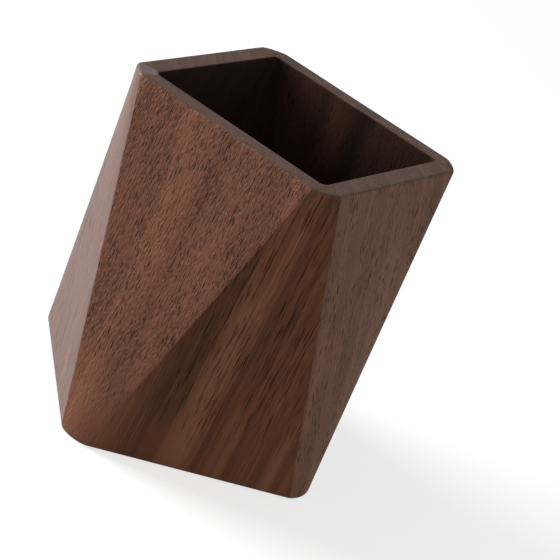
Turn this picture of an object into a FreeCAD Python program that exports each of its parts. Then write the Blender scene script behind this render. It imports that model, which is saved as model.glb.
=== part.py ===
"""Faceted walnut pen cup: eight glued staves round a base board.

The rim is a rounded square, and the foot is another, turned by an eighth of a turn. Four side
staves run from a side of the rim down to a corner of the foot. Four corner staves run from a corner
of the rim down to a side of the foot. The well follows the outside, so its wall is even all round,
and the base board is let into a rebate in the foot of the staves.

Millimetres, +Z up, origin at the centre of the foot. The sides of the rim lie along X and Y.
"""
import FreeCAD, Part
import math
import os

from collections import namedtuple
from FreeCAD import Vector

# Outside
HEIGHT = 100.0            # foot to rim
RIM_SIDE = 74.6           # rim, across its flats
FOOT_SIDE = 77.0          # foot, across its flats
RIM_CORNER = 6.0          # corner radius of the rim
FOOT_CORNER = 6.8         # corner radius of the foot
RIM_SWELL = 0.45          # swell of the rim's corners, from 0, planed flat, to 1, fully round
FOOT_SWELL = 0.6          # the same, at the foot

# Well
WALL = 6.5                # thickness of the end grain at the rim and at the foot
WELL_RIM_CORNER = 1.6     # corner radius of the well, level with the rim
WELL_FOOT_CORNER = 2.5    # the same, level with the foot

# Softened edges
RIM_ROUND = 0.9           # outside edge of the rim
FOOT_ROUND = 1.4          # outside edge of the foot
MOUTH_ROUND = 0.6         # inside edge of the rim

# Base board
BOARD_THICKNESS = 6.0     # also the depth of the rebate, so that board and staves end flush
BOARD_LET_IN = 2.6        # depth of the rebate into the staves
BOARD_GLUE_GAP = 0.05     # between the edge of the board and the rebate

# Directions in degrees from +X, counterclockwise seen from above
QUARTER_TURN = 90.0
EIGHTH_TURN = 45.0
SIDE_STAVES = {"right_stave": 0.0, "back_stave": 90.0, "left_stave": 180.0, "front_stave": 270.0}
CORNER_STAVES = {"back_right_stave": 45.0, "back_left_stave": 135.0,
                 "front_left_stave": 225.0, "front_right_stave": 315.0}

# Rounded squares. Side is across the flats, corner is the radius, and swell as above
Square = namedtuple("Square", "side corner swell")
RIM = Square(RIM_SIDE, RIM_CORNER, RIM_SWELL)
FOOT = Square(FOOT_SIDE, FOOT_CORNER, FOOT_SWELL)
WELL_RIM = Square(RIM_SIDE - 2.0 * WALL, WELL_RIM_CORNER, 1.0)
WELL_FOOT = Square(FOOT_SIDE - 2.0 * WALL, WELL_FOOT_CORNER, 1.0)

# The rebate is the foot of the well, grown by the depth that it is let in
REBATE = Square(WELL_FOOT.side + 2.0 * BOARD_LET_IN, WELL_FOOT_CORNER + BOARD_LET_IN, 1.0)
BOARD = Square(REBATE.side - 2.0 * BOARD_GLUE_GAP, REBATE.corner - BOARD_GLUE_GAP, 1.0)


def turned(x, y, z, facing):
    """Point at x ahead and y to the left of someone at the axis who looks in a direction."""
    angle = math.radians(facing)
    return Vector(x * math.cos(angle) - y * math.sin(angle),
                  x * math.sin(angle) + y * math.cos(angle), z)


def flat_edge(square, z, facing):
    """The straight side of a rounded square that faces a direction."""
    ahead = square.side / 2.0
    reach = ahead - square.corner
    return straight(turned(ahead, -reach, z, facing), turned(ahead, reach, z, facing))


def corner_edge(square, z, facing):
    """The corner of a rounded square that faces a direction, as an arc."""
    centre = (square.side / 2.0 - square.corner) * math.sqrt(2.0)
    spread = square.corner * math.sqrt(0.5)
    chord = centre + spread
    tip = chord + square.swell * (square.corner - spread)
    return Part.Arc(turned(chord, -spread, z, facing), turned(tip, 0.0, z, facing),
                    turned(chord, spread, z, facing)).toShape()


def straight(start, end):
    """Straight edge between two points."""
    return Part.LineSegment(start, end).toShape()


def start_and_end(edge):
    """The two end points of an edge, in the order in which it was drawn."""
    return edge.valueAt(edge.FirstParameter), edge.valueAt(edge.LastParameter)


def foot_prism(square, thickness):
    """Upright board that stands at the foot's level, turned as the foot is."""
    edges = []
    for quarter in range(4):
        facing = quarter * QUARTER_TURN
        edges.append(corner_edge(square, 0.0, facing))
        edges.append(flat_edge(square, 0.0, facing + EIGHTH_TURN))
    return Part.Face(Part.Wire(edges)).extrude(Vector(0.0, 0.0, thickness))


def same_edge(solid, drawn):
    """The edge of a solid that lies on a drawn edge."""
    middle = drawn.valueAt((drawn.FirstParameter + drawn.LastParameter) / 2.0)
    return min(solid.Edges, key=lambda edge: edge.distToShape(Part.Vertex(middle))[0])


def ruled_solid(rim_outer, rim_inner, foot_outer, foot_inner):
    """Solid between an outline at the rim and one at the foot, each given as two edges.

    Its four flanks are ruled from the rim to the foot. Neighbouring staves draw their shared flank
    between the same four points, so they meet face to face.
    """
    flanks = [(rim_outer, foot_outer), (rim_inner, foot_inner)]
    for end in (0, 1):
        rim_mitre = straight(start_and_end(rim_outer)[end], start_and_end(rim_inner)[end])
        foot_mitre = straight(start_and_end(foot_outer)[end], start_and_end(foot_inner)[end])
        flanks.append((rim_mitre, foot_mitre))
    faces = [Part.makeRuledSurface(rim, foot) for rim, foot in flanks]
    for level in (0, 1):
        outer, inner, first_mitre, last_mitre = (flank[level] for flank in flanks)
        faces.append(Part.Face(Part.Wire([outer, first_mitre, inner, last_mitre])))
    shell = Part.makeShell(faces)
    shell.sewShape()
    solid = Part.makeSolid(shell)
    if solid.Volume < 0.0:
        solid.reverse()
    return solid


def stave(rim_edge, foot_edge, facing):
    """Finished stave, from rim_edge at the rim to foot_edge at the foot.

    rim_edge and foot_edge are flat_edge and corner_edge, or the other way round.
    """
    rim_outer = rim_edge(RIM, HEIGHT, facing)
    rim_inner = rim_edge(WELL_RIM, HEIGHT, facing)
    foot_outer = foot_edge(FOOT, 0.0, facing)
    foot_inner = foot_edge(WELL_FOOT, 0.0, facing)
    solid = ruled_solid(rim_outer, rim_inner, foot_outer, foot_inner)
    for radius, drawn in ((RIM_ROUND, rim_outer), (FOOT_ROUND, foot_outer), (MOUTH_ROUND, rim_inner)):
        solid = solid.makeFillet(radius, [same_edge(solid, drawn)])
    return solid.cut(foot_prism(REBATE, BOARD_THICKNESS))


def base_board():
    """Floor of the well. Its top seats on the shoulder of the rebate, and it ends flush below."""
    return foot_prism(BOARD, BOARD_THICKNESS)


def main():
    """Build every piece and write one STEP file for each."""
    pieces = {"base_board": base_board()}
    for name, facing in SIDE_STAVES.items():
        pieces[name] = stave(flat_edge, corner_edge, facing)
    for name, facing in CORNER_STAVES.items():
        pieces[name] = stave(corner_edge, flat_edge, facing)

    os.makedirs("parts", exist_ok=True)
    for name, piece in pieces.items():
        piece.exportStep("parts/%s.step" % name)
        print("%-18s %9.1f mm3" % (name, piece.Volume))


if __name__ == "__main__":
    main()
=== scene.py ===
"""Looks of the faceted walnut pen cup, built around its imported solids.

Eight tapered staves are mitred round a base board. Their shapes follow one rule, so one Geometry
Nodes tree makes them all, and one solid wood pattern, cut at a different place and angle of the
plank for each stave, dresses them. Metres, +Z up, as in the frame.
"""

import logging
import math
from collections.abc import Mapping, Sequence
from dataclasses import dataclass, field, replace
from enum import Enum
from typing import Any, Optional, Union

import bpy
from mathutils import Matrix, Quaternion, Vector

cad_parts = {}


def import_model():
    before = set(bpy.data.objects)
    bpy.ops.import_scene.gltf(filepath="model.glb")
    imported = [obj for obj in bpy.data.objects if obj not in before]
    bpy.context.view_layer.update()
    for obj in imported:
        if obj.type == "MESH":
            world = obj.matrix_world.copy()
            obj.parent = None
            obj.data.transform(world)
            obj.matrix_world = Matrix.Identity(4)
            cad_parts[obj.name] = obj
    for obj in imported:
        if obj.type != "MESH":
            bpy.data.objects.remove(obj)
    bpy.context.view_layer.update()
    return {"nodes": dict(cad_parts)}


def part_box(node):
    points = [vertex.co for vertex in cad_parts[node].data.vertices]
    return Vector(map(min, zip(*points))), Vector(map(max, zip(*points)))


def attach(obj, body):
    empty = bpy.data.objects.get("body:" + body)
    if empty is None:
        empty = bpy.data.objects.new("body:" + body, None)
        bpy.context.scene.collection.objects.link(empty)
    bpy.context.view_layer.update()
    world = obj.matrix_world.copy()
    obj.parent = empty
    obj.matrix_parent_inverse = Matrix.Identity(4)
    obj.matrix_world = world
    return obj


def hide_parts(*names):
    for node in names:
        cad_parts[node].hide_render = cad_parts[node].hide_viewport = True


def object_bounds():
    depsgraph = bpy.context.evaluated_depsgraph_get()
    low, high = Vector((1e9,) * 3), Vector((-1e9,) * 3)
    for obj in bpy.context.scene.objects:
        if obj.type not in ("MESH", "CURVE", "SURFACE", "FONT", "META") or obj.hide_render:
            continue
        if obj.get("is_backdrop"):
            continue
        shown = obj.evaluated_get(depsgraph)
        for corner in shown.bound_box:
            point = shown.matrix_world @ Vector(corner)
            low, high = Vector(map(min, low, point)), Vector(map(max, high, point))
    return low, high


LOG = logging.getLogger("pen_cup")
BODY = "root"
MM = 0.001
MM_PER_METRE = 1000.0
QUARTER_TURN = 90.0
SHARP_ANGLE = math.radians(35.0)

# From the centre of a corner of radius 1 to the middle of its chord, and on to its arc
TO_CHORD = math.sqrt(0.5)
CHORD_TO_ARC = 1.0 - TO_CHORD

# From the middle of a square to its corner, divided by the way to its side
DIAGONAL = math.sqrt(2.0)

Colour = tuple[float, float, float]
Span = tuple[float, float]
Name = Union[str, int]


# ---------------------------------------------------------------------------------------------
# Node trees written as expressions


@dataclass(frozen=True)
class Wire:
    """One output socket of a node tree, which takes part in Python arithmetic."""

    graph: "Graph"
    socket: bpy.types.NodeSocket

    def math(self, operation: str, *others: "Operand") -> "Wire":
        """Math node with this socket as its first value and others after it."""
        return self.graph.math(operation, self, *others)

    def __add__(self, other: "Operand") -> "Wire":
        """Sum, which is the same either way round."""
        return self.math("ADD", other)

    __radd__ = __add__

    def __sub__(self, other: "Operand") -> "Wire":
        """Difference."""
        return self.math("SUBTRACT", other)

    def __rsub__(self, other: float) -> "Wire":
        """Difference, with a number on the left."""
        return self.graph.math("SUBTRACT", other, self)

    def __mul__(self, other: "Operand") -> "Wire":
        """Product, which is the same either way round."""
        return self.math("MULTIPLY", other)

    __rmul__ = __mul__

    def __truediv__(self, other: "Operand") -> "Wire":
        """Quotient."""
        return self.math("DIVIDE", other)

    def __rtruediv__(self, other: float) -> "Wire":
        """Quotient, with a number on the left."""
        return self.graph.math("DIVIDE", other, self)

    def smoothstep(self, low: "Operand", high: "Operand") -> "Wire":
        """Ease from 0 to 1.

        Args:
            low: Where the result is 0.
            high: Where it is 1. It may be the smaller of the two.

        Returns:
            The eased value.
        """
        sockets = {"Value": self, "From Min": low, "From Max": high}
        return self.graph.add("ShaderNodeMapRange", {"interpolation_type": "SMOOTHSTEP"},
                              sockets)["Result"]

    def hump(self, rise: Span, fall: Span) -> "Wire":
        """Ease from 0 to 1 over one span and back to 0 over another."""
        return self.smoothstep(*rise) * self.smoothstep(*reversed(fall))


Operand = Union[Wire, float]


@dataclass(frozen=True)
class Node:
    """A node, whose outputs are read as wires."""

    graph: "Graph"
    node: bpy.types.Node

    def __getitem__(self, name: Name) -> Wire:
        """Output socket by name or number."""
        return Wire(self.graph, named_socket(self.node.outputs, name))


def named_socket(sockets: bpy.types.bpy_prop_collection, name: Name) -> bpy.types.NodeSocket:
    """Socket by name or number. Of sockets with one name, the enabled one is meant."""
    found = (socket for socket in sockets if socket.name == name and socket.enabled)
    return sockets[name] if isinstance(name, int) else next(found)


class Graph:
    """A node tree that nodes are added to by type, settings and sockets."""

    def __init__(self, tree: bpy.types.NodeTree) -> None:
        """Start from a tree.

        Args:
            tree: A shader or geometry node tree, which is emptied.
        """
        self.tree = tree
        self.tree.nodes.clear()

    def add(self, kind: str, settings: Optional[Mapping[str, Any]] = None,
            sockets: Optional[Mapping[Name, Any]] = None) -> Node:
        """Add one node.

        Args:
            kind: The node's type name.
            settings: Its properties, set before its sockets.
            sockets: Values or wires of its input sockets, by name or number.

        Returns:
            The new node.
        """
        node = self.tree.nodes.new(kind)
        for name, value in (settings or {}).items():
            setattr(node, name, value)
        for name, value in (sockets or {}).items():
            socket = named_socket(node.inputs, name)
            if isinstance(value, Wire):
                self.tree.links.new(value.socket, socket)
            else:
                socket.default_value = value
        return Node(self, node)

    def math(self, operation: str, *values: Operand) -> Wire:
        """Math node, by its operation and values."""
        return self.add("ShaderNodeMath", {"operation": operation},
                        dict(enumerate(values)))["Value"]

    def vector_math(self, operation: str, *values: Any) -> Wire:
        """Vector Math node whose result is a vector, by its operation and values."""
        return self.add("ShaderNodeVectorMath", {"operation": operation},
                        dict(enumerate(values)))["Vector"]

    def vector(self, x: Operand, y: Operand, z: Operand) -> Wire:
        """Join three values into a vector."""
        return self.add("ShaderNodeCombineXYZ", sockets={"X": x, "Y": y, "Z": z})["Vector"]

    def parts(self, vector: Wire) -> tuple[Wire, Wire, Wire]:
        """Split a vector into its three values."""
        node = self.add("ShaderNodeSeparateXYZ", sockets={"Vector": vector})
        return node["X"], node["Y"], node["Z"]

    def scale(self, vector: Wire, factor: Operand) -> Wire:
        """Multiply a vector or a colour by one number."""
        return self.add("ShaderNodeVectorMath", {"operation": "SCALE"},
                        {"Vector": vector, "Scale": factor})["Vector"]

    def blend(self, share: Operand, first: Any, second: Any, data_type: str = "RGBA") -> Wire:
        """Mix two colours, vectors or numbers.

        Args:
            share: 0 gives the first, 1 the second.
            first: Colour, vector or number.
            second: The same kind of thing.
            data_type: "RGBA", "VECTOR" or "FLOAT".

        Returns:
            The mixture.
        """
        sockets = {"Factor": share, "A": first, "B": second}
        return self.add("ShaderNodeMix", {"data_type": data_type}, sockets)["Result"]

    def tint(self, share: Operand, ground: Any, colour: Colour) -> Wire:
        """Mix a colour over another, which may be a wire."""
        return self.blend(share, ground, (*colour, 1.0))


# ---------------------------------------------------------------------------------------------
# The cup's sizes


class Outline(Enum):
    """Which stretch of a rounded square a stave meets at the rim. It meets the other at the foot."""

    FLAT = 0
    CORNER = 1


@dataclass(frozen=True)
class Square:
    """Rounded square: its side across the flats, and the radius and swell of its corners.

    The swell goes from 0, planed flat, to 1, fully round.
    """

    side: float
    corner: float
    swell: float = 1.0

    def grown(self, reach: float) -> "Square":
        """The square, with its outline moved outwards."""
        return Square(self.side + 2.0 * reach, self.corner + reach, self.swell)

    @property
    def corner_reach(self) -> float:
        """How far its corners reach from the axis."""
        chord = (self.side / 2.0 - self.corner) * DIAGONAL + self.corner * TO_CHORD
        return chord + self.corner * CHORD_TO_ARC * self.swell


@dataclass(frozen=True)
class CupSizes:
    """Driving sizes of the cup, in metres."""

    height: float
    board_thickness: float
    rim: Square = Square(side=74.6 * MM, corner=6.0 * MM, swell=0.45)
    foot: Square = Square(side=77.0 * MM, corner=6.8 * MM, swell=0.584)
    wall: float = 6.5 * MM
    well_rim_corner: float = 1.6 * MM
    well_foot_corner: float = 2.5 * MM
    rim_round: float = 0.9 * MM
    foot_round: float = 1.4 * MM
    mouth_round: float = 0.6 * MM
    board_let_in: float = 2.6 * MM
    board_glue_gap: float = 0.05 * MM
    crease_band: float = 1.2 * MM
    crease_sanded: float = 0.15 * MM

    @property
    def squares(self) -> dict[str, Square]:
        """Outlines that a stave meets: outside, in the well, and round the base board."""
        well_foot = Square(self.foot.side - 2.0 * self.wall, self.well_foot_corner)
        return {"Rim": self.rim, "Foot": self.foot,
                "Well Rim": Square(self.rim.side - 2.0 * self.wall, self.well_rim_corner),
                "Well Foot": well_foot, "Rebate": well_foot.grown(self.board_let_in)}

    def lean(self, outline: Outline) -> float:
        """Lean of a stave's middle line, in radians.

        Args:
            outline: What the stave meets at the rim.

        Returns:
            The angle from upright, positive where the foot is further out than the rim.
        """
        rim, foot = self.rim.side / 2.0, self.foot.side / 2.0
        if outline is Outline.CORNER:
            rim = self.rim.corner_reach
        else:
            foot = self.foot.corner_reach
        return math.atan2(foot - rim, self.height)


# ---------------------------------------------------------------------------------------------
# Walnut


def paint(red: int, green: int, blue: int) -> Colour:
    """Colour as the shaders take it, from one as a screen shows it.

    Args:
        red: 0 to 255, and so for the others.
        green: The green share.
        blue: The blue share.

    Returns:
        The three linear values.
    """
    shares = [value / 255.0 for value in (red, green, blue)]
    return tuple(share / 12.92 if share <= 0.04045 else ((share + 0.055) / 1.055) ** 2.4
                 for share in shares)


@dataclass(frozen=True)
class Waves:
    """Noise that is drawn out along the grain, in waves per millimetre."""

    across: float
    along: float
    detail: float = 2.0

    def texture(self, graph: Graph, log: Wire) -> Node:
        """Noise texture, at a place in the log in millimetres."""
        spread = graph.vector_math("MULTIPLY", log, (self.across, self.across, self.along))
        return graph.add("ShaderNodeTexNoise", sockets={"Vector": spread, "Scale": 1.0,
                                                        "Detail": self.detail})

    def noise(self, graph: Graph, log: Wire) -> Wire:
        """Its values, round a half."""
        return self.texture(graph, log)[0]

    def swing(self, graph: Graph, log: Wire) -> Wire:
        """The same values, round zero."""
        return self.noise(graph, log) - 0.5


# The fibres' wander and the rings' own unevenness, which is mostly slow
FIBRE_WANDER = Waves(0.5, 0.28, detail=1.0)
SLOW_WAVER = Waves(0.03, 0.006)
QUICK_WAVER = Waves(0.3, 0.012)
QUICK_SHARE = 0.08

# The wander and the breaks of hairlines, glints and streaks
HAIR_WANDER = Waves(0.9, 0.02)
HAIR_SWAY = 1.2
HAIR_BREAKS = Waves(0.7, 0.07)
GLINT_BREAKS = Waves(0.6, 0.05)
STREAK_WANDER = Waves(0.05, 0.03)

# The tone of the wood, from fibre to fibre and from patch to patch
FIBRE, FIBRE_SWING = Waves(2.4, 0.12, detail=4.0), 2.0
PATCH, PATCH_SWING = Waves(0.09, 0.03), 4.0

# Relief comes and goes in patches, and is fainter where pores close, in the well and on end grain
RELIEF_PATCH = Waves(0.22, 0.09)
RELIEF_LEAST, RELIEF_MORE = 0.65, 0.9
CLOSED_RELIEF = 0.5
WELL_SMOOTHED, END_SMOOTHED = 0.85, 0.75

# Where masks go from 0 to 1: first of a normal, then of noise round a half, then of a year's growth
END_GRAIN_FACES = (0.4, 0.8)
WELL_FACES = (-0.3, -0.8)
CROWDED = (0.38, 0.58)
RAISED = (0.36, 0.64)
BANDED = (0.4, 0.6)
HAIR, HAIR_WHOLE = (0.53, 0.6), (0.4, 0.6)
GLINT, GLINT_WHOLE = (0.55, 0.65), (0.45, 0.6)
LATE_ON_SIDE = ((0.1, 0.92), (0.94, 1.0))
LATE_ON_END = ((0.35, 0.95), (0.97, 1.0))
EARLY_ON_END = ((0.0, 0.03), (0.05, 0.14))

# From ring to ring: waves per millimetre of radius, and millimetres by which years differ
HAIR_WAVES, GLINT_WAVES = 1.9, 2.3
YEAR_WAVES, YEAR_SPREAD = 0.06, 9.0

# Where a pore's colour and its dip begin and where they are whole, in its own half widths
PORE_COLOUR = (1.25, 0.5)
PORE_DIP = (2.1, 0.2)

# Millimetres to each side over which pores close and streaks end, and the span of streaks' wander
CLOSING = 15.0
STREAK_END = 8.0
STREAK_SWAY = 4.0

# Share of the pores that is left where they are closed
CLOSED_CROWD = 0.2

# End grain's own colours, greyed as painted sheen
END_GRAIN_AND_SHEEN = paint(80, 71, 68)
END_LATEWOOD_AND_SHEEN = paint(61, 50, 46)
END_EARLYWOOD_AND_SHEEN = paint(99, 88, 84)


@dataclass(frozen=True)
class Streak:
    """A stripe of paler or, below zero strength, darker wood that runs along a stave.

    Sizes are in millimetres. The place is measured to the right of the stave's middle line, seen
    from outside. On the back's wood, the dark stripes are painted shadow rather than darker wood.
    """

    across: float
    width: float
    low: float
    high: float
    strength: float


@dataclass(frozen=True)
class Vessels:
    """Open pores of one size: dashes along the grain, dots on end grain. Sizes in millimetres."""

    width: float
    length: float
    spacing: float
    depth: float
    share: float = 1.0
    shift: float = 0.0

    def cells(self, graph: Graph, log: Wire) -> Wire:
        """Distance from the middle of the nearest vessel.

        Args:
            graph: Where the nodes go.
            log: Place in the log, in millimetres.

        Returns:
            The distance, in half widths of a vessel.
        """
        across = 1.0 / self.spacing
        along = across * self.width / self.length
        spread = graph.vector_math("MULTIPLY_ADD", log, (across, across, along),
                                   (self.shift,) * 3)
        cell = graph.add("ShaderNodeTexVoronoi", sockets={"Vector": spread, "Scale": 1.0})
        return cell["Distance"] * (2.0 * self.spacing / self.width)


@dataclass(frozen=True)
class Cut:
    """What the colour and the relief of one piece share.

    The log's place is in millimetres from the pith, with the grain along its third axis. Across
    and along are millimetres from the middle line and from the foot of the piece. The rest run
    from 0 to 1: end grain, the well, where pores are open, and how crowded they are.
    """

    graph: Graph
    log: Wire
    across: Wire
    along: Wire
    end: Wire
    inside: Wire
    opened: Wire
    crowd: Wire


@dataclass(frozen=True)
class Walnut:
    """One cut of walnut, oiled to a satin finish, with its place in the log.

    The place is that of the cup's middle, in millimetres from the pith of the log, with the grain
    along the third axis. The twist turns the grain aside, in degrees. Widths, sway, waver and the
    height below which pores are closed are in millimetres. Markings are shares of their colour
    over the ground, loners the share of pores outside crowds, and the well's share the colour
    kept in the well, which is darkened there as painted shade.
    """

    slot: str
    ground: Colour = paint(106, 69, 50)
    latewood: Colour = paint(70, 41, 28)
    pale: Colour = paint(134, 94, 74)
    pore: Colour = paint(46, 25, 17)
    place: tuple[float, float, float] = (90.0, 20.0, 0.0)
    twist: float = 0.0
    ring_width: float = 4.0
    rings: float = 0.3
    bands: float = 0.35
    hairlines: float = 0.3
    glints: float = 0.15
    fibres: float = 0.3
    mottle: float = 0.12
    sway: float = 0.35
    waver: float = 6.0
    band_width: float = 4.5
    crowd: Waves = Waves(0.2, 0.04)
    loners: float = 0.35
    closed_below: float = -100.0
    dimples: Waves = Waves(1.7, 0.45, detail=3.0)
    vessels: tuple[Vessels, ...] = (
        Vessels(width=0.4, length=2.8, spacing=0.85, depth=0.36, share=0.85),
        Vessels(width=0.28, length=1.1, spacing=0.5, depth=0.22, share=0.55, shift=31.7),
    )
    grooves: float = 0.3
    roughness: float = 0.55
    rough_pores: float = 0.2
    rough_end: float = 0.2
    rough_well: float = 0.35
    shine: float = 0.2
    # Share of colour kept in the well, which is darkened there as painted shade
    well: float = 0.28
    end_grain_and_sheen: float = 0.6
    end_rings: float = 0.35
    streaks: tuple[Streak, ...] = ()

    def build(self, name: str, facing: float, lean: float,
              start: float = 0.0) -> bpy.types.Material:
        """Make the material of one piece.

        Args:
            name: Name of the piece that wears it.
            facing: The piece's direction, in degrees from +X.
            lean: How far its grain leans from upright, in radians.
            start: Where its length of the plank starts, in millimetres.

        Returns:
            The material, with its grain along the piece.
        """
        material = bpy.data.materials.new(f"{self.slot}_{name}")
        material.use_nodes = True
        cut = self.cut(Graph(material.node_tree), facing, lean, start)
        graph = cut.graph
        distance = self.ring_distance(cut)
        uneven = self.ring_noise(graph, distance, YEAR_WAVES) * YEAR_SPREAD
        year = ((distance + uneven) / self.ring_width).math("FRACT")
        colour = self.streaked(cut, self.side_colour(cut, distance, year))
        # End grain, at the rim and the foot, is tinted grey: partly its own tone, partly painted
        # sheen
        colour = graph.tint(cut.end * self.end_grain_and_sheen, colour, END_GRAIN_AND_SHEEN)
        rings = cut.end * self.end_rings
        colour = graph.tint(rings * year.hump(*LATE_ON_END), colour, END_LATEWOOD_AND_SHEEN)
        colour = graph.tint(rings * year.hump(*EARLY_ON_END), colour, END_EARLYWOOD_AND_SHEEN)

        relief = self.dimples.swing(graph, cut.log) * (self.grooves * 2.0)
        rough: Operand = self.roughness
        for vessels in self.vessels:
            cells = vessels.cells(graph, cut.log)
            core = cells.smoothstep(*PORE_COLOUR) * cut.crowd
            relief = relief - cells.smoothstep(*PORE_DIP) * cut.crowd * vessels.depth
            colour = graph.tint(core * vessels.share, colour, self.pore)
            rough = core * self.rough_pores + rough
        raised = RELIEF_PATCH.noise(graph, cut.log).smoothstep(*RAISED)
        relief = relief * (raised * RELIEF_MORE + RELIEF_LEAST)
        relief = relief * (cut.opened * (1.0 - CLOSED_RELIEF) + CLOSED_RELIEF)
        relief = relief * (1.0 - cut.inside * WELL_SMOOTHED) * (1.0 - cut.end * END_SMOOTHED)
        rough = cut.end * self.rough_end + (cut.inside * self.rough_well + rough)
        # Painted shade: the colour in the well is darkened to stand for the shade that falls inside
        # it
        colour = graph.scale(colour, 1.0 - cut.inside * (1.0 - self.well))
        bump = graph.add("ShaderNodeBump", sockets={"Height": relief, "Strength": 1.0,
                                                    "Distance": 1.0 * MM})
        skin = graph.add("ShaderNodeBsdfPrincipled", sockets={
            "Base Color": colour, "Roughness": rough, "Normal": bump["Normal"],
            "Specular IOR Level": self.shine})
        graph.add("ShaderNodeOutputMaterial", sockets={"Surface": skin["BSDF"]})
        return material

    def cut(self, graph: Graph, facing: float, lean: float, start: float) -> Cut:
        """Find a piece's place in the log and its masks.

        Args:
            graph: Where the nodes go.
            facing: The piece's direction, in degrees from +X.
            lean: How far its grain leans from upright, in radians.
            start: Where its length of the plank starts, in millimetres.

        Returns:
            What the colour and the relief share.
        """
        turn = Matrix.Rotation(math.radians(self.twist), 3, "X")
        turn = turn @ Matrix.Rotation(lean, 3, "Y")
        turn = (turn @ Matrix.Rotation(math.radians(-facing), 3, "Z")).to_euler("XYZ")
        place = graph.add("ShaderNodeTexCoord")
        plank = graph.add("ShaderNodeMapping", sockets={
            "Vector": place["Object"], "Rotation": turn,
            "Scale": (MM_PER_METRE,) * 3})["Vector"]
        normal = graph.add("ShaderNodeMapping", {"vector_type": "NORMAL"}, {
            "Vector": place["Normal"], "Rotation": turn})["Vector"]
        outwards, _, upwards = graph.parts(normal)
        _, across, along = graph.parts(plank)
        log = graph.vector_math("ADD", plank, Vector(self.place) + Vector((0.0, 0.0, start)))
        log = self.wandering(graph, log)
        crowd = self.crowd.noise(graph, log).smoothstep(*CROWDED)
        crowd = crowd * (1.0 - self.loners) + self.loners
        opened = along.smoothstep(self.closed_below - CLOSING, self.closed_below + CLOSING)
        return Cut(graph, log, across, along,
                   end=upwards.math("ABSOLUTE").smoothstep(*END_GRAIN_FACES),
                   inside=outwards.smoothstep(*WELL_FACES),
                   opened=opened,
                   crowd=crowd * (opened * (1.0 - CLOSED_CROWD) + CLOSED_CROWD))

    def wandering(self, graph: Graph, log: Wire) -> Wire:
        """Place in the log, moved a little across the grain so that the fibres wander."""
        sway = graph.vector_math("SUBTRACT", FIBRE_WANDER.texture(graph, log)["Color"], (0.5,) * 3)
        return graph.vector_math("MULTIPLY_ADD", sway, (self.sway, self.sway, 0.0), log)

    def ring_distance(self, cut: Cut) -> Wire:
        """Distance from the pith, with the unevenness of a real trunk.

        Args:
            cut: The piece's cut.

        Returns:
            The distance, in millimetres.
        """
        graph, log = cut.graph, cut.log
        level = graph.vector_math("MULTIPLY", log, (1.0, 1.0, 0.0))
        distance = graph.add("ShaderNodeVectorMath", {"operation": "LENGTH"}, {0: level})["Value"]
        slow = SLOW_WAVER.swing(graph, log) * self.waver
        quick = QUICK_WAVER.swing(graph, log) * (self.waver * QUICK_SHARE)
        return distance + slow + quick

    @staticmethod
    def ring_noise(graph: Graph, distance: Wire, waves: float) -> Wire:
        """Noise that changes only from ring to ring, in waves per millimetre."""
        return graph.add("ShaderNodeTexNoise", {"noise_dimensions": "1D"},
                         {"W": distance, "Scale": waves, "Detail": 2.0})[0]

    def side_colour(self, cut: Cut, distance: Wire, year: Wire) -> Wire:
        """Colour of the wood between its pores and streaks.

        Args:
            cut: The piece's cut.
            distance: Distance from the pith, in millimetres.
            year: Share of a year's growth, from 0 in spring to 1 in autumn.

        Returns:
            The colour.
        """
        graph, log = cut.graph, cut.log
        band = self.ring_noise(graph, distance, 1.0 / self.band_width).smoothstep(*BANDED)
        wander = HAIR_WANDER.swing(graph, log) * (self.sway * HAIR_SWAY)
        hair = self.ring_noise(graph, distance + wander, HAIR_WAVES).smoothstep(*HAIR)
        hair = hair * HAIR_BREAKS.noise(graph, log).smoothstep(*HAIR_WHOLE) * cut.crowd
        glint = self.ring_noise(graph, distance - wander, GLINT_WAVES).smoothstep(*GLINT)
        glint = glint * GLINT_BREAKS.noise(graph, log).smoothstep(*GLINT_WHOLE)
        colour = graph.tint(band * self.bands, (*self.ground, 1.0), self.latewood)
        colour = graph.tint(year.hump(*LATE_ON_SIDE) * self.rings, colour, self.latewood)
        colour = graph.tint(hair * self.hairlines, colour, self.latewood)
        colour = graph.tint(glint * self.glints, colour, self.pale)
        fibre = FIBRE.swing(graph, log) * (FIBRE_SWING * self.fibres)
        patch = PATCH.swing(graph, log) * (PATCH_SWING * self.mottle)
        return graph.scale(colour, fibre + patch + 1.0)

    def streaked(self, cut: Cut, colour: Wire) -> Wire:
        """Lay the streaks over a colour.

        Args:
            cut: The piece's cut.
            colour: Colour of the wood under them.

        Returns:
            The colour with its streaks.
        """
        graph = cut.graph
        for streak in self.streaks:
            wander = STREAK_WANDER.swing(graph, cut.log) * STREAK_SWAY
            aside = (cut.across + (wander - streak.across)).math("ABSOLUTE")
            share = aside.smoothstep(streak.width, 0.0) * cut.along.hump(
                (streak.low - STREAK_END, streak.low + STREAK_END),
                (streak.high - STREAK_END, streak.high + STREAK_END))
            other = self.pale if streak.strength > 0.0 else self.latewood
            colour = graph.tint(share * abs(streak.strength), colour, other)
        return colour


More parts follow.
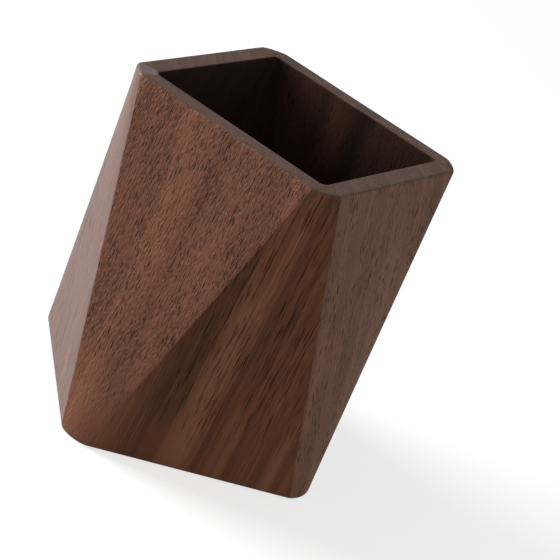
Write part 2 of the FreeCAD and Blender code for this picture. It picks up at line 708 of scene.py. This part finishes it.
LONG_VESSELS = (
    Vessels(width=0.23, length=8.0, spacing=0.52, depth=0.28),
    Vessels(width=0.17, length=4.0, spacing=0.4, depth=0.2, share=0.9, shift=12.3),
)
SPARSE_VESSELS = (
    Vessels(width=0.42, length=3.0, spacing=0.9, depth=0.32),
    Vessels(width=0.28, length=1.6, spacing=0.6, depth=0.22, share=0.65, shift=12.3),
)
PITTED_VESSELS = (
    Vessels(width=0.34, length=2.1, spacing=0.8, depth=0.6, share=0.95),
    Vessels(width=0.26, length=1.2, spacing=0.5, depth=0.5, share=0.6, shift=31.7),
)
SMUDGED_VESSELS = (
    Vessels(width=1.0, length=7.0, spacing=2.2, depth=0.03, share=0.4),
    Vessels(width=0.3, length=2.6, spacing=0.8, depth=0.08, share=0.6, shift=12.3),
)
WARM = Walnut("warm_brown_walnut", ground=paint(119, 77, 58), latewood=paint(82, 48, 32),
              pore=paint(54, 29, 19), vessels=PITTED_VESSELS,
              dimples=Waves(1.6, 0.65, detail=2.0), loners=0.65, grooves=0.32, fibres=0.16,
              shine=0.13, end_rings=0.3, well=0.27, closed_below=13.0, twist=-4.0,
              streaks=(Streak(across=-20.0, width=5.0, low=55.0, high=105.0, strength=-0.35),
                       Streak(across=-13.0, width=2.0, low=60.0, high=105.0, strength=-0.35),
                       Streak(across=8.0, width=5.0, low=50.0, high=90.0, strength=-0.25)))
# Painted shadow: the back's broad dark streaks stand for the shade that falls across the inside of
# the back wall
BACK_WITH_PAINTED_SHADOW = replace(WARM, latewood=paint(64, 37, 25), twist=0.0, streaks=(
    Streak(across=30.0, width=16.0, low=-20.0, high=130.0, strength=-0.9),
    Streak(across=10.0, width=4.5, low=-20.0, high=130.0, strength=-0.5),
    Streak(across=-4.0, width=6.5, low=-20.0, high=130.0, strength=-1.0)))
GREY = Walnut("grey_brown_walnut", ground=paint(107, 73, 55), latewood=paint(78, 51, 38),
              pale=paint(132, 96, 80), pore=paint(52, 26, 17), place=(30.0, 70.0, 240.0),
              vessels=SPARSE_VESSELS, grooves=0.22, sway=0.3, shine=0.1, well=0.11,
              end_rings=0.25, ring_width=7.0, loners=0.2, twist=-9.0,
              streaks=(Streak(across=20.0, width=12.0, low=10.0, high=70.0, strength=0.3),))
PALE = Walnut("pale_walnut", ground=paint(103, 67, 55), latewood=paint(82, 51, 39),
              pale=paint(140, 103, 88), pore=paint(72, 47, 38), place=(110.0, 5.0, 500.0),
              vessels=SMUDGED_VESSELS, grooves=0.08, sway=0.2, shine=0.5, roughness=0.45,
              hairlines=0.6, glints=0.5, twist=2.0, well=0.16)
DARK = Walnut("dark_striped_walnut", ground=paint(108, 69, 47), latewood=paint(58, 32, 19),
              pale=paint(134, 92, 70), pore=paint(24, 11, 7), place=(45.0, 60.0, 700.0),
              bands=0.55, band_width=6.0, rings=0.35, hairlines=0.9, glints=0.25,
              vessels=LONG_VESSELS, crowd=Waves(0.12, 0.014), loners=0.4, grooves=0.1,
              sway=0.12, waver=2.0, shine=0.09, twist=1.0, well=0.1, closed_below=22.0,
              streaks=(Streak(across=-6.5, width=3.6, low=5.0, high=66.0, strength=0.4),
                       Streak(across=-15.0, width=6.0, low=20.0, high=75.0, strength=-0.5),
                       Streak(across=6.0, width=5.0, low=30.0, high=105.0, strength=-0.5),
                       Streak(across=22.0, width=3.0, low=-10.0, high=28.0, strength=0.4)))
FLOOR = Walnut("floor_walnut", ground=paint(98, 64, 46), place=(20.0, 60.0, 900.0), well=1.0)


# ---------------------------------------------------------------------------------------------
# Staves


def add_object(name: str, data: bpy.types.ID) -> bpy.types.Object:
    """Make an object and link it to the scene.

    Args:
        name: Its name.
        data: Its mesh, lamp or camera.

    Returns:
        The object.
    """
    made = bpy.data.objects.new(name, data)
    bpy.context.scene.collection.objects.link(made)
    return made


def finished_mesh(blank: bpy.types.Object) -> bpy.types.Mesh:
    """Apply an object's modifiers to a new mesh, and remove the object.

    Args:
        blank: The object.

    Returns:
        The mesh.
    """
    ready = blank.evaluated_get(bpy.context.evaluated_depsgraph_get())
    mesh = bpy.data.meshes.new_from_object(ready)
    bpy.data.objects.remove(blank)
    return mesh


def plain_piece(name: str, blank: bpy.types.Object) -> bpy.types.Object:
    """Turn an object with modifiers into one with a plain mesh, shaded smooth where it is round.

    Args:
        name: Name of the finished piece.
        blank: The object, which is removed.

    Returns:
        The finished piece, at the origin.
    """
    rounded = add_object(name + "_rounded", finished_mesh(blank))
    rounded.data.shade_smooth()
    rounded.data.set_sharp_from_angle(angle=SHARP_ANGLE)
    flats = rounded.modifiers.new("flats", "WEIGHTED_NORMAL")
    flats.keep_sharp = True
    piece = add_object(name, finished_mesh(rounded))
    piece.data.name = name
    return piece


def settle(piece: bpy.types.Object, node: str, slot: str) -> None:
    """Put a finished piece in the place of its solid.

    Args:
        piece: The finished piece.
        node: The solid that it stands for.
        slot: The finish that it wears.
    """
    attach(piece, BODY)
    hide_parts(node)
    LOG.info("%s: %d faces, %s", piece.name, len(piece.data.polygons), slot)


# Beyond this, a place is on a side of the box that is bent into a stave
BOX_SIDE = 0.499

# Layers of the box lie at 0, 0.5 and 1 of the way through the wall
OUTSIDE_TO, INSIDE_FROM = 0.25, 0.75

# Points on the rebate: their row and their way through the wall add up to less than this
REBATE_TO = 1.6

# Creases are eased by this share at the rim and at the foot, and fully halfway up
SANDED_AT_ENDS = 0.4


@dataclass
class StaveRule:
    """The tree that makes any stave from its sizes, facing +X turned by Facing.

    It bends a box that runs from -0.5 to 0.5 each way. Across the box runs one stretch of a
    rounded square. Through it runs the wall, in an outside, a middle and an inside layer. Up it
    run the rows: one at the foot, one at the top of the rebate, and the rest evenly to the rim.
    """

    sizes: CupSizes
    across: int = 32
    crease_columns: int = 4
    rows: int = 40
    round_steps: int = 4
    merge_distance: float = 0.001 * MM
    tree: bpy.types.NodeTree = field(init=False)
    graph: Graph = field(init=False)
    given: Node = field(init=False)

    def __post_init__(self) -> None:
        """Build the tree."""
        self.tree = bpy.data.node_groups.new("stave", "GeometryNodeTree")
        for name in self.values(Outline.FLAT, 0.0):
            self.tree.interface.new_socket(name, in_out="INPUT", socket_type="NodeSocketFloat")
        self.tree.interface.new_socket("Wood", in_out="INPUT", socket_type="NodeSocketMaterial")
        self.tree.interface.new_socket("Stave", in_out="OUTPUT", socket_type="NodeSocketGeometry")
        self.graph = graph = Graph(self.tree)
        self.given = graph.add("NodeGroupInput")
        box = graph.add("GeometryNodeMeshCube", sockets={
            "Size": (1.0, 1.0, 1.0), "Vertices X": self.across + 1, "Vertices Y": 3,
            "Vertices Z": self.rows + 1})["Mesh"]
        shape = graph.add("GeometryNodeSetPosition", sockets={
            "Geometry": self.mark_edges(self.open_rebate(box)),
            "Position": self.bent_place()})["Geometry"]
        shape = graph.add("GeometryNodeMergeByDistance", sockets={
            "Geometry": shape, "Distance": self.merge_distance})["Geometry"]
        shape = graph.add("GeometryNodeRealizeInstances", sockets={"Geometry": shape})["Geometry"]
        shape = graph.add("GeometryNodeSetMaterial", sockets={
            "Geometry": shape, "Material": self.given["Wood"]})["Geometry"]
        graph.add("NodeGroupOutput", sockets={"Stave": shape})

    def values(self, outline: Outline, facing: float) -> dict[str, float]:
        """Inputs of the tree for one stave.

        Args:
            outline: What the stave meets at the rim.
            facing: Its direction, in degrees from +X.

        Returns:
            Each input's name and value.
        """
        sizes = self.sizes
        values = {"Corner At Rim": float(outline.value), "Facing": math.radians(facing),
                  "Height": sizes.height, "Rebate Height": sizes.board_thickness,
                  "Crease Band": sizes.crease_band, "Crease Sanded": sizes.crease_sanded,
                  "Rim Share": sizes.rim_round / sizes.foot_round,
                  "Mouth Share": sizes.mouth_round / sizes.foot_round}
        for name, square in sizes.squares.items():
            values.update({f"{name} Side": square.side, f"{name} Corner": square.corner,
                           f"{name} Swell": square.swell})
        return values

    def box_place(self) -> tuple[Wire, Wire, Wire]:
        """Place in the box: across it, through it and up it."""
        return self.graph.parts(self.graph.add("GeometryNodeInputPosition")["Position"])

    def open_rebate(self, box: Wire) -> Wire:
        """Drop the cell of each mitre that the rebate takes away.

        Args:
            box: The whole box.

        Returns:
            The box without those cells.
        """
        x, y, z = self.box_place()
        lowest = z.math("LESS_THAN", 1.0 / self.rows - 0.5)
        gone = x.math("ABSOLUTE").math("GREATER_THAN", BOX_SIDE) * y.math("GREATER_THAN", 0.0)
        return self.graph.add("GeometryNodeDeleteGeometry", {"domain": "FACE"},
                              {"Geometry": box, "Selection": gone * lowest})["Geometry"]

    def mark_edges(self, box: Wire) -> Wire:
        """Mark the edges of the rim, the mouth and the foot for rounding.

        Args:
            box: The opened box.

        Returns:
            The box with its marks, as shares of the foot's rounding.
        """
        _, y, z = self.box_place()
        outside, inside = y.math("LESS_THAN", -BOX_SIDE), y.math("GREATER_THAN", BOX_SIDE)
        rim, foot = z.math("GREATER_THAN", BOX_SIDE), z.math("LESS_THAN", -BOX_SIDE)
        weight = rim * (outside * self.given["Rim Share"] + inside * self.given["Mouth Share"])
        return self.graph.add("GeometryNodeStoreNamedAttribute",
                              {"data_type": "FLOAT", "domain": "EDGE"},
                              {"Geometry": box, "Name": "bevel_weight_edge",
                               "Value": weight + foot * outside})["Geometry"]

    def bent_place(self) -> Wire:
        """Find where each point of the box goes.

        Returns:
            The place.
        """
        graph, given = self.graph, self.given
        x, y, z = self.box_place()
        column = ((x + 0.5) * self.across).math("ROUND")
        row = ((z + 0.5) * self.rows).math("ROUND")
        through = y + 0.5
        is_inside = through.math("GREATER_THAN", INSIDE_FROM)
        is_outside = through.math("LESS_THAN", OUTSIDE_TO)

        first = (row + is_inside).math("MINIMUM", 1.0)
        upper = (row - 1.0).math("MAXIMUM", 0.0) / (self.rows - 1.0)
        level = first * given["Rebate Height"] + upper * (given["Height"] - given["Rebate Height"])
        rise = level / given["Height"]
        share, away = self.spread(column, rise)
        outer = graph.blend(rise, self.stretch("Foot", share), self.stretch("Rim", share), "VECTOR")
        inner = graph.blend(rise, self.stretch("Well Foot", share),
                            self.stretch("Well Rim", share), "VECTOR")

        sanded = rise * (1.0 - rise) * (4.0 * (1.0 - SANDED_AT_ENDS)) + SANDED_AT_ENDS
        sanded = (1.0 - away).math("POWER", 2.0) * sanded * given["Crease Sanded"] * is_outside
        inwards = graph.vector_math("NORMALIZE", graph.vector_math("SUBTRACT", inner, outer))
        place = graph.blend(through, outer, inner, "VECTOR")
        place = graph.vector_math("ADD", place, graph.scale(inwards, sanded))
        in_rebate = (row + through).math("LESS_THAN", REBATE_TO) * (1.0 - is_outside)
        place = graph.blend(in_rebate, place, self.stretch("Rebate", share), "VECTOR")
        ahead, left, _ = graph.parts(place)
        return graph.add("ShaderNodeVectorRotate", {"rotation_type": "Z_AXIS"},
                         {"Vector": graph.vector(ahead, left, level),
                          "Angle": given["Facing"]})["Vector"]

    def spread(self, column: Wire, rise: Wire) -> tuple[Wire, Wire]:
        """Spread the columns, with more of them near the creases.

        Args:
            column: A column's number.
            rise: Share of the height.

        Returns:
            Its place along the stretch, from -0.5 to 0.5, and how far it is from the crease, as
            a share of the crease's band and at most 1.
        """
        length = self.graph.blend(rise, self.length("Foot"), self.length("Rim"), "FLOAT")
        band = self.given["Crease Band"] / length
        middle = self.across / 2.0
        steps = column.math("MINIMUM", self.across - column)
        away = (steps / self.crease_columns).math("MINIMUM", 1.0)
        rest = (steps - self.crease_columns).math("MAXIMUM", 0.0) / (middle - self.crease_columns)
        half = 0.5 - (away * band + rest * (0.5 - band))
        return half * (column - middle).math("SIGN"), away

    def at_corner(self, name: str) -> Wire:
        """1 where the stave meets the corner of a square, 0 where it meets the flat side."""
        at_rim = self.given["Corner At Rim"]
        return at_rim if name in ("Rim", "Well Rim") else 1.0 - at_rim

    def length(self, name: str) -> Wire:
        """Measure the stretch of a square that the stave meets.

        Args:
            name: Which square, as the inputs are named.

        Returns:
            Its length, which is about right at a corner.
        """
        corner = self.given[f"{name} Corner"]
        flat = self.given[f"{name} Side"] - corner * 2.0
        return flat + (corner * (math.pi / 2.0) - flat) * self.at_corner(name)

    def stretch(self, name: str, share: Wire) -> Wire:
        """Find a point on the stretch of a square that the stave meets.

        Args:
            name: Which square, as the inputs are named.
            share: Place along the stretch, from -0.5 to 0.5.

        Returns:
            The point, without its height.
        """
        graph, corner = self.graph, self.given[f"{name} Corner"]
        ahead = self.given[f"{name} Side"] * 0.5
        flat = graph.vector(ahead, share * 2.0 * (ahead - corner), 0.0)
        spread = corner * TO_CHORD
        rise = corner * CHORD_TO_ARC * self.given[f"{name} Swell"]
        radius = (spread * spread + rise * rise) / (rise * 2.0)
        angle = (spread / radius).math("ARCSINE") * share * 2.0
        centre = (ahead - corner) * DIAGONAL + spread + rise - radius
        arc = graph.vector(centre + radius * angle.math("COSINE"),
                           radius * angle.math("SINE"), 0.0)
        return graph.blend(self.at_corner(name), flat, arc, "VECTOR")

    def cut(self, name: str, outline: Outline, facing: float,
            wood: bpy.types.Material) -> bpy.types.Object:
        """Make one stave as a plain mesh.

        Args:
            name: Its name.
            outline: What it meets at the rim.
            facing: Its direction, in degrees from +X.
            wood: Its material.

        Returns:
            The stave's object.
        """
        blank = add_object(name + "_blank", bpy.data.meshes.new(name + "_blank"))
        modifier = blank.modifiers.new("stave", "NODES")
        modifier.node_group = self.tree
        values = {**self.values(outline, facing), "Wood": wood}
        for item in self.tree.interface.items_tree:
            if item.in_out == "INPUT":
                modifier[item.identifier] = values[item.name]
        rounding = blank.modifiers.new("rounding", "BEVEL")
        rounding.width = self.sizes.foot_round
        rounding.limit_method = "WEIGHT"
        rounding.segments = self.round_steps
        return plain_piece(name, blank)


@dataclass(frozen=True)
class Stave:
    """One stave: where it stands, its wood, and where its length of the plank starts."""

    name: str
    outline: Outline
    facing: float
    wood: Walnut
    start: float = 0.0


@dataclass
class StaveRing:
    """The eight staves: four whose flat side is at the rim, then four whose corner is."""

    sizes: CupSizes
    staves: Sequence[Stave] = (
        Stave("front_stave", Outline.FLAT, 270.0, WARM),
        Stave("right_stave", Outline.FLAT, 0.0, GREY),
        Stave("back_stave", Outline.FLAT, 90.0, BACK_WITH_PAINTED_SHADOW, start=130.0),
        Stave("left_stave", Outline.FLAT, 180.0, GREY, start=130.0),
        Stave("front_left_stave", Outline.CORNER, 225.0, PALE),
        Stave("front_right_stave", Outline.CORNER, 315.0, DARK),
        Stave("back_right_stave", Outline.CORNER, 45.0, BACK_WITH_PAINTED_SHADOW, start=260.0),
        Stave("back_left_stave", Outline.CORNER, 135.0, DARK, start=130.0),
    )

    def build(self) -> None:
        """Cut, dress and glue every stave."""
        rule = StaveRule(self.sizes)
        for stave in self.staves:
            lean = self.sizes.lean(stave.outline)
            wood = stave.wood.build(stave.name, stave.facing, lean, stave.start)
            piece = rule.cut("cut_" + stave.name, stave.outline, stave.facing, wood)
            settle(piece, stave.name, stave.wood.slot)


@dataclass
class BaseBoard:
    """The floor of the well, let into the staves."""

    sizes: CupSizes
    wood: Walnut = FLOOR
    arris: float = 0.25 * MM
    arris_steps: int = 2
    corner_steps: int = 12

    def build(self) -> None:
        """Cut and dress the board. Its grain lies level."""
        mesh = bpy.data.meshes.new("board_blank")
        outline = self.outline()
        count = len(outline)
        low = [(x, y, 0.0) for x, y in outline]
        high = [(x, y, self.sizes.board_thickness) for x, y in outline]
        walls = [(i, (i + 1) % count, count + (i + 1) % count, count + i) for i in range(count)]
        faces = [tuple(reversed(range(count))), tuple(range(count, 2 * count)), *walls]
        mesh.from_pydata(low + high, [], faces)
        mesh.materials.append(self.wood.build("base_board", 0.0, math.radians(QUARTER_TURN)))
        blank = add_object("board_blank", mesh)
        rounding = blank.modifiers.new("arris", "BEVEL")
        rounding.width = self.arris
        rounding.limit_method = "ANGLE"
        rounding.segments = self.arris_steps
        settle(plain_piece("cut_base_board", blank), "base_board", self.wood.slot)

    def outline(self) -> list[tuple[float, float]]:
        """Draw the board's outline.

        Returns:
            Points round it, counterclockwise seen from above.
        """
        board = self.sizes.squares["Rebate"].grown(-self.sizes.board_glue_gap)
        centre = (board.side / 2.0 - board.corner) * DIAGONAL
        points = []
        for quarter in range(4):
            facing = math.radians(quarter * QUARTER_TURN)
            for step in range(self.corner_steps + 1):
                turn = facing + math.radians((step / self.corner_steps - 0.5) * QUARTER_TURN)
                points.append((centre * math.cos(facing) + board.corner * math.cos(turn),
                               centre * math.sin(facing) + board.corner * math.sin(turn)))
        return points


# ---------------------------------------------------------------------------------------------
# Studio


@dataclass(frozen=True)
class Lamp:
    """A soft square lamp that points at the cup."""

    name: str
    azimuth: float
    elevation: float
    distance: float
    size: float
    power: float

    def build(self, target: Vector) -> None:
        """Hang the lamp.

        Args:
            target: The point that it shines on.
        """
        data = bpy.data.lights.new(self.name, "AREA")
        data.size = self.size
        data.energy = self.power
        lamp = add_object(self.name, data)
        away = direction(self.azimuth, self.elevation)
        lamp.location = target + away * self.distance
        lamp.rotation_mode = "QUATERNION"
        lamp.rotation_quaternion = (-away).to_track_quat("-Z", "Y")


@dataclass
class Studio:
    """Camera, pale floor, lamps and surroundings."""

    azimuth: float = 27.09
    elevation: float = 23.6
    roll: float = 24.03
    distance: float = 0.696
    lens: float = 152.6
    aim_right: float = 13.93 * MM
    aim_up: float = 1.17 * MM
    floor_half: float = 4.0
    floor_albedo: float = 0.45
    floor_glow: float = 0.65
    surroundings: float = 0.42
    lamps: Sequence[Lamp] = (
        Lamp("key_lamp", azimuth=-72.0, elevation=24.0, distance=1.2, size=0.6, power=18.0),
        Lamp("fill_lamp", azimuth=58.0, elevation=20.0, distance=1.4, size=1.0, power=7.0),
    )

    def build(self) -> None:
        """Set the whole studio up round the frame."""
        low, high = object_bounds()
        centre = (low + high) / 2.0
        self.build_camera(centre)
        self.build_floor(low.z)
        for lamp in self.lamps:
            lamp.build(centre)
        self.build_world()
        bpy.context.scene.view_settings.view_transform = "Standard"

    def build_camera(self, centre: Vector) -> None:
        """Place the camera, tipped to one side, and make it the scene's.

        Args:
            centre: Middle of the cup.
        """
        data = bpy.data.cameras.new("camera")
        data.lens = self.lens
        camera = add_object("camera", data)
        back = direction(self.azimuth, self.elevation)
        right = (-back).cross(Vector((0.0, 0.0, 1.0))).normalized()
        up = right.cross(-back)
        aim = centre + right * self.aim_right + up * self.aim_up
        camera.location = centre + back * self.distance
        tip = Quaternion((0.0, 0.0, 1.0), math.radians(self.roll))
        camera.rotation_mode = "QUATERNION"
        camera.rotation_quaternion = (aim - camera.location).to_track_quat("-Z", "Y") @ tip
        bpy.context.scene.camera = camera

    def build_floor(self, level: float) -> None:
        """Lay a floor that looks white and throws less light back than it seems to.

        Args:
            level: Its height.
        """
        half = self.floor_half
        mesh = bpy.data.meshes.new("floor")
        mesh.from_pydata([(-half, -half, level), (half, -half, level), (half, half, level),
                          (-half, half, level)], [], [(0, 1, 2, 3)])
        floor = add_object("floor", mesh)
        material = bpy.data.materials.new("pale_floor")
        material.use_nodes = True
        graph = Graph(material.node_tree)
        albedo = {"Color": (*[self.floor_albedo] * 3, 1.0)}
        dull = graph.add("ShaderNodeBsdfDiffuse", sockets=albedo)
        white = graph.add("ShaderNodeBsdfDiffuse", sockets=albedo)
        glow = graph.add("ShaderNodeEmission", sockets={"Strength": self.floor_glow})
        lit = graph.add("ShaderNodeAddShader", sockets={0: white["BSDF"], 1: glow["Emission"]})
        both = graph.add("ShaderNodeMixShader", sockets={
            "Fac": self.seen(graph), 1: dull["BSDF"], 2: lit["Shader"]})
        graph.add("ShaderNodeOutputMaterial", sockets={"Surface": both["Shader"]})
        mesh.materials.append(material)
        floor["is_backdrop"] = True

    def build_world(self) -> None:
        """Surround the cup with even light that is seen as white."""
        world = bpy.data.worlds.new("surroundings")
        bpy.context.scene.world = world
        world.use_nodes = True
        graph = Graph(world.node_tree)
        even = graph.add("ShaderNodeBackground", sockets={"Strength": self.surroundings})
        white = graph.add("ShaderNodeBackground", sockets={"Color": (1.0, 1.0, 1.0, 1.0)})
        both = graph.add("ShaderNodeMixShader", sockets={
            "Fac": self.seen(graph), 1: even["Background"], 2: white["Background"]})
        graph.add("ShaderNodeOutputWorld", sockets={"Surface": both["Shader"]})

    @staticmethod
    def seen(graph: Graph) -> Wire:
        """Tell what is seen from what only lights the cup.

        Args:
            graph: Where the nodes go.

        Returns:
            1 for what is seen straight, in a gloss or through glass, and 0 for light.
        """
        rays = graph.add("ShaderNodeLightPath")
        seen = rays["Is Camera Ray"].math("MAXIMUM", rays["Is Glossy Ray"])
        return seen.math("MAXIMUM", rays["Is Transmission Ray"])


def direction(azimuth: float, elevation: float) -> Vector:
    """Unit vector towards a place round the cup.

    Args:
        azimuth: Degrees round from the front, to the right.
        elevation: Degrees above the horizon.

    Returns:
        The direction, from the cup outwards.
    """
    turn, rise = math.radians(azimuth), math.radians(elevation)
    return Vector((math.sin(turn) * math.cos(rise), -math.cos(turn) * math.cos(rise),
                   math.sin(rise)))


def main() -> None:
    """Build the studio and the cup."""
    logging.basicConfig(level=logging.INFO, format="%(name)s: %(message)s")
    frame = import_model()
    Studio().build()
    foot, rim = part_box("front_stave")
    board_low, board_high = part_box("base_board")
    LOG.info("%d solids on %s", len(frame["nodes"]), BODY)
    sizes = CupSizes(height=rim.z - foot.z, board_thickness=board_high.z - board_low.z)
    StaveRing(sizes).build()
    BaseBoard(sizes).build()


if __name__ == "__main__":
    main()
